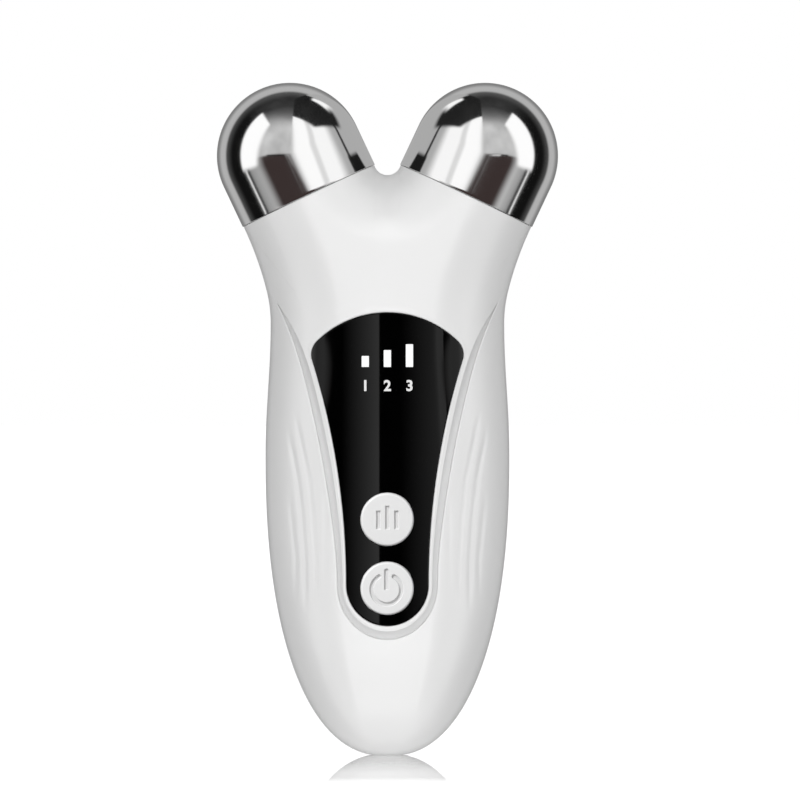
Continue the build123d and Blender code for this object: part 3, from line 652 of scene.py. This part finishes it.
fork = arc((0, fork_z), fork_radius, angle_of(seam_in - (0, fork_z)), -90, 24)
frame_line = np.concatenate([tongue_low, tongue_side[1:], side_line[side_line[:, 1] > tongue_top[1] + 0.3],
                             seam[1:], fork[1:]])

# Places on the panel's edge, and those on the frame's outer edge that they face. Points are spread
# evenly between them, but crowd to both ends of the arm's seam.
ties = [((0, 29.0), (0, 26.1)), ((9.2, 38.2), (11.1, 38.2)), ((10.6, 60.0), (13.4, 60.0)),
        ((14.2, 80.0), (17.2, 80.0)), ((16.6, 89.0), tongue_top), (corner_centre + (2.9, 2.9), (28.5, 110.0)),
        ((13.4, 94.3), seam_out), ((2.0, 98.6), seam_in), ((0, panel_top), (0, fork_low))]


def nearest(line, place):
    """Length along a line at which it comes nearest to a place."""
    return lengths(line)[np.argmin(np.hypot(*(line - np.array(place)).T))]


def around(half):
    """A closed round from values of its right half, bottom to top, and their mirror image."""
    return np.concatenate([half, half[-2:0:-1] * (-1, 1) if half.ndim == 2 else half[-2:0:-1]])


panel_ties = [nearest(panel_line, a) for a, b in ties]
frame_ties = [nearest(frame_line, b) for a, b in ties]
gone = [np.zeros(1)]
for leg, count in enumerate((70, 60, 45, 50, 16, 20, 80, 14)):
    step = np.linspace(0, 1, count + 1)[1:]
    step = eased(step) if leg == 6 else step
    gone.append(frame_ties[leg] + (frame_ties[leg + 1] - frame_ties[leg]) * step)
gone = np.concatenate(gone)
outer = around(at_lengths(frame_line, gone))
inner = around(at_lengths(panel_line, np.interp(gone, frame_ties, panel_ties)))
on_tongue = around(np.clip((frame_ties[4] - gone) / 3.0, 0, 1))
on_rim = around((gone > frame_ties[4]) & ((gone < frame_ties[6]) | (gone > frame_ties[7])))
span = inner - outer
width = np.hypot(*span.T)
inwards = span / width[:, None]
tangent = np.roll(outer, -1, 0) - np.roll(outer, 1, 0)
crossing = np.abs(inwards[:, 0] * tangent[:, 1] - inwards[:, 1] * tangent[:, 0]) / np.hypot(*tangent.T)
band = np.minimum(band_width / np.maximum(crossing, 0.2), 0.62 * width)
lip = np.minimum(lip_width, 0.36 * width)
share = np.concatenate([
    np.linspace(0, 1, 22)[:, None] ** 2 * band / width,
    (band + np.linspace(0, 1, 44)[1:, None] ** 1.3 * (width - band - lip)) / width,
    1 - (1 - np.linspace(0, 1, 13)[1:, None]) * lip / width,
])
flat = outer + span * (share + tongue_gap * on_tongue / width * (1 - share))[..., None]
slope = band_depth * (1 - np.clip(share * width / band, 0, 1) ** 2) * on_tongue
from_panel = np.clip((1 - share) * width / lip, 0, 1)
ridge = np.where(from_panel < 0.2, lip_height * (1 - from_panel / 0.2) ** 2, 0)
ridge -= lip_hollow * np.sin(np.pi * from_panel)
face = skin(flat, slope + ridge)
ledge = inner + inwards * ledge_width
pocket = np.stack([skin(inner, pocket_depth), skin(ledge, pocket_depth)])
pulled = outer + inwards * np.where(on_rim, wall, 0)[:, None]
back_rows = lining(pulled + (ledge - pulled) * np.linspace(1, 0, 12)[:, None, None])
chamfer = seam_chamfer * on_rim[:, None]
edge_rows = np.stack([middle(pulled), middle(outer + inwards * chamfer), face[0]])
edge_rows[:2, :, 1] = np.where(on_rim, 0, back_rows[-1, :, 1])
edge_rows[2, :, 1] = np.where(on_rim, np.maximum(face[0, :, 1] / 2, -seam_chamfer), face[0, :, 1])
rows = np.concatenate([back_rows, edge_rows, face, pocket])
# Painted shade for the sloping band: full at its outer edge, fading over its width, on the tongue only.
etched = np.zeros(rows.shape[:2])
etched[len(back_rows) + 3:-2] = on_tongue * np.clip((1.04 - share * width / band) / 0.12, 0, 1)
neck_mesh = grid_mesh("neck_and_tongue", rows, True, True, etched=etched)
piece_of(neck_mesh, "body", "white_shell", white_shell, "front_shell", lit_by=casing_lit[:1])

# Back of the casing: one shell from the tip to the arms, screwed to the front. Its flat middle is
# what the device lies on. Five screw holes in it are closed by soft plugs, and the mouth of the
# charging socket is cut where the shells meet at the tip.
fine_below = 60.0
low_z = (1 - np.cos(np.linspace(0, np.pi / 2, 90))) * fine_below
sides = np.concatenate([np.stack([grip_width(low_z), low_z], 1),
                        even(side_line[side_line[:, 1] >= fine_below], 110)[1:]])
rising = np.gradient(sides, axis=0)
to_inside = np.stack([-rising[:, 1], rising[:, 0]], 1) / np.hypot(*rising.T)[:, None]
columns = np.sin(np.linspace(0, np.pi / 2, 72))
columns = np.concatenate([-columns[:0:-1], columns])[:, None]


def back_places(inset):
    """Places of the back's surface in the front view: a patch between the tip's line, the two sides
    and the arms' ends with the fork, blended from its four edges, which may all be set in."""
    side = sides + to_inside * inset
    low = columns * (side[0, 0], 0) + (0, side[0, 1])
    bend = arc((0, fork_z), fork_radius + inset, -90, angle_of(seam_in - (0, fork_z)), 13)
    end = bend[-1] + (seam_out - square * inset - bend[-1]) * eased(np.linspace(0, 1, 60)[1:, None])
    top = both_sides(np.concatenate([bend, end]))
    t = (lengths(side) / lengths(side)[-1])[:, None, None]
    s = (columns + 1) / 2
    return ((1 - t) * low + t * top + (1 - s) * side[:, None] * (-1, 1) + s * side[:, None]
            - (1 - t) * ((1 - s) * low[0] + s * low[-1]) - t * ((1 - s) * top[0] + s * top[-1]))


def to_middle(points, chamfer):
    """The same rows and columns with more of them at the edges, which go down to the middle plane:
    over a chamfer at the sides, straight at the tip and the fork, and not at all at the arms' ends."""
    at_fork = np.abs(np.arange(len(columns)) - 71)[:, None] <= 12
    points = np.concatenate([points[:1] * (1, 0, 1), points, points[-1:] * np.where(at_fork, (1, 0, 1), (1, 1, 1))])
    low = points[:, :1] * (1, 0, 1)
    edge = low + (0, 1, 0) * np.minimum(points[:, :1] / 2, seam_chamfer)
    ends = low + (chamfer, 0, 0)
    return np.concatenate([ends, edge, points, points[:, -1:] * (1, 0, 1) + edge * (0, 1, 0), ends * (-1, 1, 1)], 1)


outside = to_middle(skin(back_places(0), crown=0) * (1, -1, 1), seam_chamfer)
inside = to_middle(lining(back_places(wall)) * (1, -1, 1), 0)
back_mesh = grid_mesh("back_shell", np.concatenate([outside, inside[::-1]]), rows_close=True, capped=True)
plug_places = [(-9, 107), (9, 107), (-18, 50), (18, 50), (0, 21.3)]
plug_radius = 2.3
plug_holes = [prism(arc(place, plug_radius, 0, 360, 65)[:-1], 6, 20, (0, 2, 1)) for place in plug_places]
back_mesh = less(back_mesh, prism(plug_mouth, -2, 6), *plug_holes)
piece_of(back_mesh, "body", "white_shell", white_shell, "rear_shell", lit_by=casing_lit[1:])

# Screw plugs: five soft white plugs pressed in flush over the casing screws, and the soft seals that
# keep water out where each head's axle leaves its arm. Matt silicone rubber, with specks of dust.
def cad_finish(finish, *nodes):
    """Gives CAD nodes that are shown as they are their finish."""
    for piece in [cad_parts[node] for node in nodes]:
        for slot in piece.material_slots:
            slot.material = finish.owner
        if not piece.material_slots:
            piece.data.materials.append(finish.owner)


silicone = Finish("silicone")
dust = silicone.rise(silicone.noise(2600.0, 4.0), 0.60, 0.75)
silicone.coat(dust, 0.80, (0.74, 0.74, 0.73), 0.58 + 0.1 * dust, silicone.noise(7000.0), 0.000006)
cad_finish(silicone, "screw_plugs", "left_axle_seal", "right_axle_seal")
casing_lit[1].objects.link(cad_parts["screw_plugs"])

# Display panel: a thin plate of black acrylic, polished like glass and glued into the tongue's pocket
# flush with the lip. Its edge is rounded, two round holes let the buttons through, and three upright
# windows hold the level bars.
button_places = {"level": 52.7, "power": 37.4}
bar_pitch = 4.9
bar_base = 86.5
bar_heights = {-1: 2.5, 0: 3.8, 1: 5.1}
bar_width = 1.62
bar_gap = 0.03
hole_radius = 5.98
plate_gap = 0.06
plate_edge = 0.12
plate_sink = 0.02
plate_back = 1.2
outline = around(even(panel_line, 220))
spine = np.stack([0 * outline[:, 0], np.clip(outline[:, 1], tongue_z, 84.0)], 1)
span = spine - outline
width = np.hypot(*span.T)
edge_share = np.array([0.0, 0.02, 0.05, 0.08, 0.12, 0.3, 0.6, 0.9])[:, None]
share = np.concatenate([edge_share / width, (0.9 + (width - 0.9) * np.linspace(0, 1, 26)[1:, None]) / width])
share = plate_gap / width + (1 - plate_gap / width) * share
flat = outline + span * share[..., None]
from_edge = np.clip(plate_gap + plate_edge - share * width, 0, plate_edge)
round_edge = plate_edge - np.sqrt(plate_edge ** 2 - from_edge ** 2)
face = skin(flat, plate_sink + round_edge)
rows = np.concatenate([face[::-1], skin(flat, plate_back)])
plate_mesh = grid_mesh("display_panel_plate", rows, columns_close=True)


def through_panel(outline):
    """A bar over an outline of the front view that goes right through the panel."""
    return prism(outline, -18, -12, (0, 2, 1))


def rounded_bar(width, low, high, centre, corner):
    """Outline of an upright bar with rounded corners."""
    across, height = width / 2 - corner, (high - low) / 2 - corner
    middle_z = (high + low) / 2
    return np.concatenate([arc((centre + a * across, middle_z + b * height), corner, start, start + 90, 8)
                           for a, b, start in ((1, 1, 0), (-1, 1, 90), (-1, -1, 180), (1, -1, 270))])


holes = [arc((0, z), hole_radius, 0, 360, 129)[:-1] for z in button_places.values()]
windows = [rounded_bar(bar_width + 0.14, bar_base - bar_gap, bar_base + height + bar_gap, k * bar_pitch, 0.18)
           for k, height in bar_heights.items()]
plate_mesh = less(plate_mesh, *[through_panel(outline) for outline in holes + windows])
acrylic = Finish("panel_black")
haze = acrylic.noise(140.0, 4.0)
acrylic.coat(haze, 0.0005, (0.0011, 0.0011, 0.0012), 0.02 + 0.015 * haze, IOR=1.49, Specular_IOR_Level=0.5)
piece_of(plate_mesh, "body", "panel_black", acrylic, "display_panel")

# Level bars: three translucent white bars, moulded as the front ends of one light pipe, that fill the
# panel's windows and glow from the lamps behind them. Plain white numerals are printed below them,
# with a painted glow that makes them brighter than print.
bars = []
for k, height in bar_heights.items():
    outline = rounded_bar(bar_width, bar_base + bar_gap, bar_base + height - bar_gap, k * bar_pitch, 0.12)
    centre = outline.mean(0)
    rings = [centre + (outline - centre) * scale for scale in (0, 0.5, 0.9, 0.97, 1)]
    front = [skin(ring, sink) for ring, sink in zip(rings, (0, 0, 0, 0.01, 0.05))]
    back_end = [np.insert(ring, 1, -10.6, 1) for ring in (rings[4], rings[0])]
    bars.append(grid_mesh("bar", np.stack(front + back_end), columns_close=True))


def joined(name, meshes):
    """Several meshes as one."""
    work = bmesh.new()
    for mesh in meshes:
        work.from_mesh(mesh)
    whole = bpy.data.meshes.new(name)
    work.to_mesh(whole)
    work.free()
    return whole


glow_bar = Finish("bar_white")
cloud = glow_bar.noise(900.0, 2.0)
glow_bar.coat(cloud, (0.90, 0.91, 0.92), 0.93, 0.35 + 0.1 * cloud, Emission_Color=1, Emission_Strength=0.55)
piece_of(joined("level_bars", bars), "body", "bar_white", glow_bar, "level_light_bars")


def lettering(text, size, weight, centre, thickness):
    """Flat text as a mesh that stands upright on the front face, with its middle at a place."""
    curve = bpy.data.curves.new("text", "FONT")
    curve.body = text
    curve.size = size
    curve.offset = weight
    curve.extrude = thickness / 2
    holder = new_object("text", curve)
    bpy.context.view_layer.update()
    mesh = bpy.data.meshes.new_from_object(holder.evaluated_get(bpy.context.evaluated_depsgraph_get()))
    bpy.data.objects.remove(holder)
    merge_points(mesh, 1e-4)
    spots = np.empty(len(mesh.vertices) * 3)
    mesh.vertices.foreach_get("co", spots)
    spots = spots.reshape(-1, 3)
    middle_of = (spots.min(0) + spots.max(0)) / 2
    flat = spots[:, :2] - middle_of[:2] + centre
    place = skin(flat) - np.stack([0 * flat[:, 0], spots[:, 2], 0 * flat[:, 0]], 1)
    mesh.vertices.foreach_set("co", (place / 1000).ravel())
    return mesh


print_white = Finish("print_white")
grain = print_white.noise(5000.0)
# The print is given a painted glow of its own.
print_white.coat(grain, 0.86, 0.92, 0.5 + 0.1 * grain, Emission_Color=1, Emission_Strength=0.35)
numeral_z = 82.4
numerals = [lettering(str(k + 2), 3.3, 0.10, (k * bar_pitch, numeral_z), 0.04) for k in bar_heights]
piece_of(joined("level_numerals", numerals), "body", "bar_white", print_white)

# Push buttons: two round satin white caps in the panel's holes, the upper one for the level and the
# lower one for power. Their signs are engraved and their grooves darkened by painted shade, their rims
# rounded, a flange behind the panel holds them in, and a stem reaches each one's switch.
button_round = 5.85
button_rim = 0.45
button_front = -16.5
sign_depth = 0.36
groove_half = 0.51
groove_slope = 0.10
stroke_end = 0.475


def bar_sign(x, z):
    """Distance to the nearest of three upright strokes: to the nearest side of each one's box."""
    spots = [np.maximum(abs(x - k * 2.0), abs(z + 2.15 - tall / 2) - tall / 2 + stroke_end)
             for k, tall in ((-1, 4.1), (0, 5.2), (1, 4.1))]
    return np.minimum.reduce(spots)


def power_sign(x, z):
    """Distance to the middle of a ring that is open at the top, or to a stroke that ends in it."""
    across, up = x + 0.2, z + 0.2
    turn = np.abs(np.arctan2(across, up))
    opening = math.radians(30)
    sign_round = 3.3
    ends = np.hypot(abs(across) - sign_round * math.sin(opening), up - sign_round * math.cos(opening))
    ring = np.where(turn > opening, abs(np.hypot(across, up) - sign_round), ends)
    stroke = np.maximum(np.hypot(across, np.maximum(z - 3.9, 0)) - 0.04, -0.3 - z + stroke_end)
    return np.minimum(ring, stroke)


def button_mesh(name, height, sign):
    """A cap turned about its axis: a polar grid from the middle of its front, over the rim, down its
    side, out to the flange and back to the stem's end. The sign sinks into its front."""
    flat_radius = button_round - button_rim
    rim_turn = np.linspace(0, np.pi / 2, 14)
    radius = np.concatenate([np.linspace(0, flat_radius - 0.1, 104), flat_radius + button_rim * np.sin(rim_turn)])
    turn = np.linspace(0, 2 * np.pi, 361)[:-1]
    x, z = radius[:, None] * np.sin(turn), radius[:, None] * np.cos(turn)
    rim = button_rim - np.sqrt(np.maximum(button_rim ** 2 - np.clip(radius - flat_radius, 0, button_rim) ** 2, 0))
    groove = np.clip((groove_half - sign(x, z)) / groove_slope, 0, 1)
    groove = sign_depth * groove * groove * (3 - 2 * groove)
    y = button_front + (0.06 * (radius / button_round) ** 2 + rim)[:, None] + groove
    front = np.stack([x, y, z + height], -1)
    line = np.array([(button_round, -13.15), (6.7, -13.15), (6.75, -13.1), (6.75, -12.4), (6.7, -12.35),
                     (1.6, -12.35), (1.6, -11.85), (0, -11.85)])[:, :, None]
    behind = np.stack([line[:, 0] * np.sin(turn), line[:, 1] + 0 * turn, line[:, 0] * np.cos(turn) + height], -1)
    return grid_mesh(name, np.concatenate([front, behind]), columns_close=True)


cap = Finish("button_white")
x, y, z = cap.place()
grain = cap.noise(9000.0, 3.0)
cloud = cap.noise(150.0)
# Painted shade darkens the engraved grooves of the signs, but not the rim.
painted_groove_shade = cap.rise(y, button_front + 0.16, button_front + sign_depth) * (1 - cap.rise(x * x, 22.0, 24.0))
cap.coat(painted_groove_shade * 0.5, cap.mix(cloud, 0.80, 0.82), 0.62, 0.38 + 0.06 * cloud, grain, 0.000004)
for name, sign in (("level", bar_sign), ("power", power_sign)):
    piece_of(button_mesh(name + "_button_cap", button_places[name], sign), name + "_key", "button_white", cap,
             name + "_button", lit_by=buttons_lit)

# Heads: two hollow domes, spun from metal, plated and polished to a mirror. Each is a straight skirt
# and a half ball in one, stands a fraction of a millimetre off its arm, and turns about its own
# tilted axis.
dome_radius = 16.3
dome_skirt = 10.0
dome_wall = 1.4
dome_gap = 0.12
dome_edge = 0.14
up_turn = np.linspace(0, np.pi / 2, 96)
inside = dome_radius - dome_wall
foot = dome_radius - dome_edge
profile = np.concatenate([
    np.stack([inside * np.cos(up_turn[::-3]), dome_skirt + inside * np.sin(up_turn[::-3])], 1),
    [[inside, dome_gap], [foot, dome_gap]],
    np.stack([foot + dome_edge * np.sin(up_turn[::12]), dome_gap + dome_edge * (1 - np.cos(up_turn[::12]))], 1),
    np.stack([np.full(24, dome_radius), np.linspace(0.8, dome_skirt, 24)], 1),
    np.stack([dome_radius * np.cos(up_turn[1:]), dome_skirt + dome_radius * np.sin(up_turn[1:])], 1),
])
chrome = Finish("dome_chrome")
swirl = chrome.noise(500.0, 4.0)
film = chrome.noise(45.0, 2.0)
chrome.coat(film, (0.93, 0.925, 0.92), 0.95, 0.085 + 0.03 * swirl * film, Metallic=1.0)
turn = np.linspace(0, 2 * np.pi, 321)[:-1]
for name, side in (("left", -1), ("right", 1)):
    radius, along = profile[:, :1], profile[:, 1:]
    across = radius * np.cos(turn)
    x = side * (arm_end[0] + across * square[0] + along * lean[0])
    z = arm_end[1] + across * square[1] + along * lean[1]
    dome = grid_mesh(name + "_dome_shell", np.stack([x, radius * np.sin(turn), z], -1), columns_close=True)
    piece_of(dome, name + "_head", "dome_chrome", chrome, name + "_dome")

# Head bearings: for each head a turned brass hub carries the dome on two shielded ball bearings,
# round a steel axle that is clipped, and held to the moulded arm plate by a nut over a brass terminal.
brass = Finish("brass")
turning = brass.noise(3500.0, 2.0)
stain = brass.rise(brass.noise(240.0, 4.0), 0.45, 0.75)
brass.coat(stain, (0.74, 0.58, 0.29), (0.60, 0.43, 0.20), 0.24 + 0.16 * stain, turning, 0.000006, Metallic=1.0)
cad_finish(brass, "left_hub", "right_hub", "left_terminal", "right_terminal")
steel = Finish("steel")
stretched = steel.node("ShaderNodeMapping", inputs={"Scale": (1.0, 1.0, 0.08)}, Vector=steel.spot)["Vector"]
brushed = steel.noise(6000.0, 3.0, spot=stretched)
smudge = steel.noise(180.0, 3.0)
steel.coat(smudge, (0.60, 0.60, 0.62), (0.70, 0.70, 0.71), 0.22 + 0.14 * brushed, brushed, 0.000003, Metallic=1.0)
cad_finish(steel, "board_screws", "charge_board_screws", "casing_screws", "socket_shell",
           *[side + part for side in ("left_", "right_")
             for part in ("lower_bearing", "upper_bearing", "axle", "axle_clip", "axle_nut")])

# Moulded black parts: glass-filled nylon, matt and finely grained, for the arm plates that close the
# arms, the light guide, the switch housings, the chips' cases and the charging socket's tongue.
nylon = Finish("black_plastic")
fibre = nylon.noise(5200.0, 5.0, 0.65)
cloud = nylon.noise(200.0, 3.0)
nylon.coat(cloud, (0.020, 0.020, 0.021), (0.036, 0.036, 0.037), 0.46 + 0.16 * fibre, fibre, 0.00001)
cad_finish(nylon, "light_guide", "level_switch", "power_switch", "control_chip", "charge_chip", "socket_tongue",
           "left_arm_plate", "right_arm_plate")
grey = Finish("plunger_grey")
fibre = grey.noise(6000.0, 3.0)
grey.coat(fibre, (0.32, 0.32, 0.33), (0.39, 0.39, 0.40), 0.42 + 0.1 * fibre)
cad_finish(grey, "level_plunger", "power_plunger")

# Circuit boards: fibreglass under green solder mask, with copper tracks that show as paler lines
# between rows of tinned vias, and the white lamps, ferrite inductor and battery connector on them.
mask = Finish("board_green")
x, y, z = mask.place()
lane = (x * 1.25).math("FRACT")
row = (z * 0.4 + x * 0.15).math("FRACT")
track = mask.within(lane, 0.32, 0.58, 0.03) * mask.rise(mask.noise(130.0, 1.0), 0.44, 0.5)
cross = mask.within(row, 0.42, 0.52, 0.02) * mask.rise(mask.noise(90.0, 1.0), 0.52, 0.58)
track = track.math("MAXIMUM", cross)
weave = mask.noise(2400.0, 3.0)
resist = mask.mix(weave, (0.014, 0.13, 0.055), (0.02, 0.16, 0.07))
mask.coat(track, resist, (0.05, 0.27, 0.11), 0.26 + 0.1 * weave, track, 0.00003)
cad_finish(mask, "main_board", "charge_board")
ferrite = Finish("ferrite")
pores = ferrite.rise(ferrite.noise(3800.0, 4.0), 0.55, 0.7)
ferrite.coat(pores, (0.10, 0.10, 0.11), (0.045, 0.045, 0.05), 0.62 + 0.2 * pores, pores, 0.00002)
cad_finish(ferrite, "boost_inductor")
ivory = Finish("connector_white")
fibre = ivory.noise(4200.0, 3.0)
ivory.coat(fibre, (0.78, 0.76, 0.69), (0.84, 0.82, 0.76), 0.44 + 0.1 * fibre)
cad_finish(ivory, "battery_connector")
lamp = Finish("led_yellow")
x, y, z = lamp.place()
die = lamp.within(z - 83.5, -0.6, 0.6, 0.15)
lamp.coat(die, (0.88, 0.87, 0.80), (0.90, 0.76, 0.22), 0.18 + 0.1 * die)
cad_finish(lamp, "level_leds")

# Battery: a flat cell in a pouch of aluminium foil, heat-sealed and slightly crinkled, that lies on a
# soft pad of open foam in the casing.
foil = Finish("battery_foil")
crease = foil.noise(260.0, 6.0, 0.62)
rolling = foil.noise(4000.0, 2.0)
foil.coat(crease, (0.66, 0.67, 0.69), (0.76, 0.76, 0.77), 0.30 + 0.12 * rolling, crease, 0.00012, Metallic=0.92)
cad_finish(foil, "battery")
foam = Finish("foam")
cells = foam.node("ShaderNodeTexVoronoi", {"feature": "SMOOTH_F1"}, Vector=foam.spot, Scale=2200.0)["Distance"]
foam.coat(cells, (0.07, 0.07, 0.075), (0.19, 0.19, 0.20), 0.88 + 0.08 * cells, cells, 0.0001)
cad_finish(foam, "battery_pad")


# Leads: stranded wire in soft silicone jackets, red and black to the battery and the charging board,
# blue from the boost circuit to the two heads' terminals.
def jacket(name, light, dark, *nodes):
    """A silicone jacket: a satin colour that varies softly, with a fine ripple from the extruder."""
    cover = Finish(name)
    ripple = cover.noise(1800.0, 2.0)
    cover.coat(ripple, light, dark, 0.40 + 0.12 * ripple, ripple, 0.00001)
    cad_finish(cover, *nodes)


jacket("lead_red", (0.60, 0.03, 0.03), (0.46, 0.02, 0.02), "battery_lead_red", "charge_lead_red")
jacket("lead_black", 0.03, 0.016, "battery_lead_black", "charge_lead_black")
jacket("lead_blue", (0.05, 0.12, 0.50), (0.03, 0.08, 0.38), "left_electrode_lead", "right_electrode_lead")
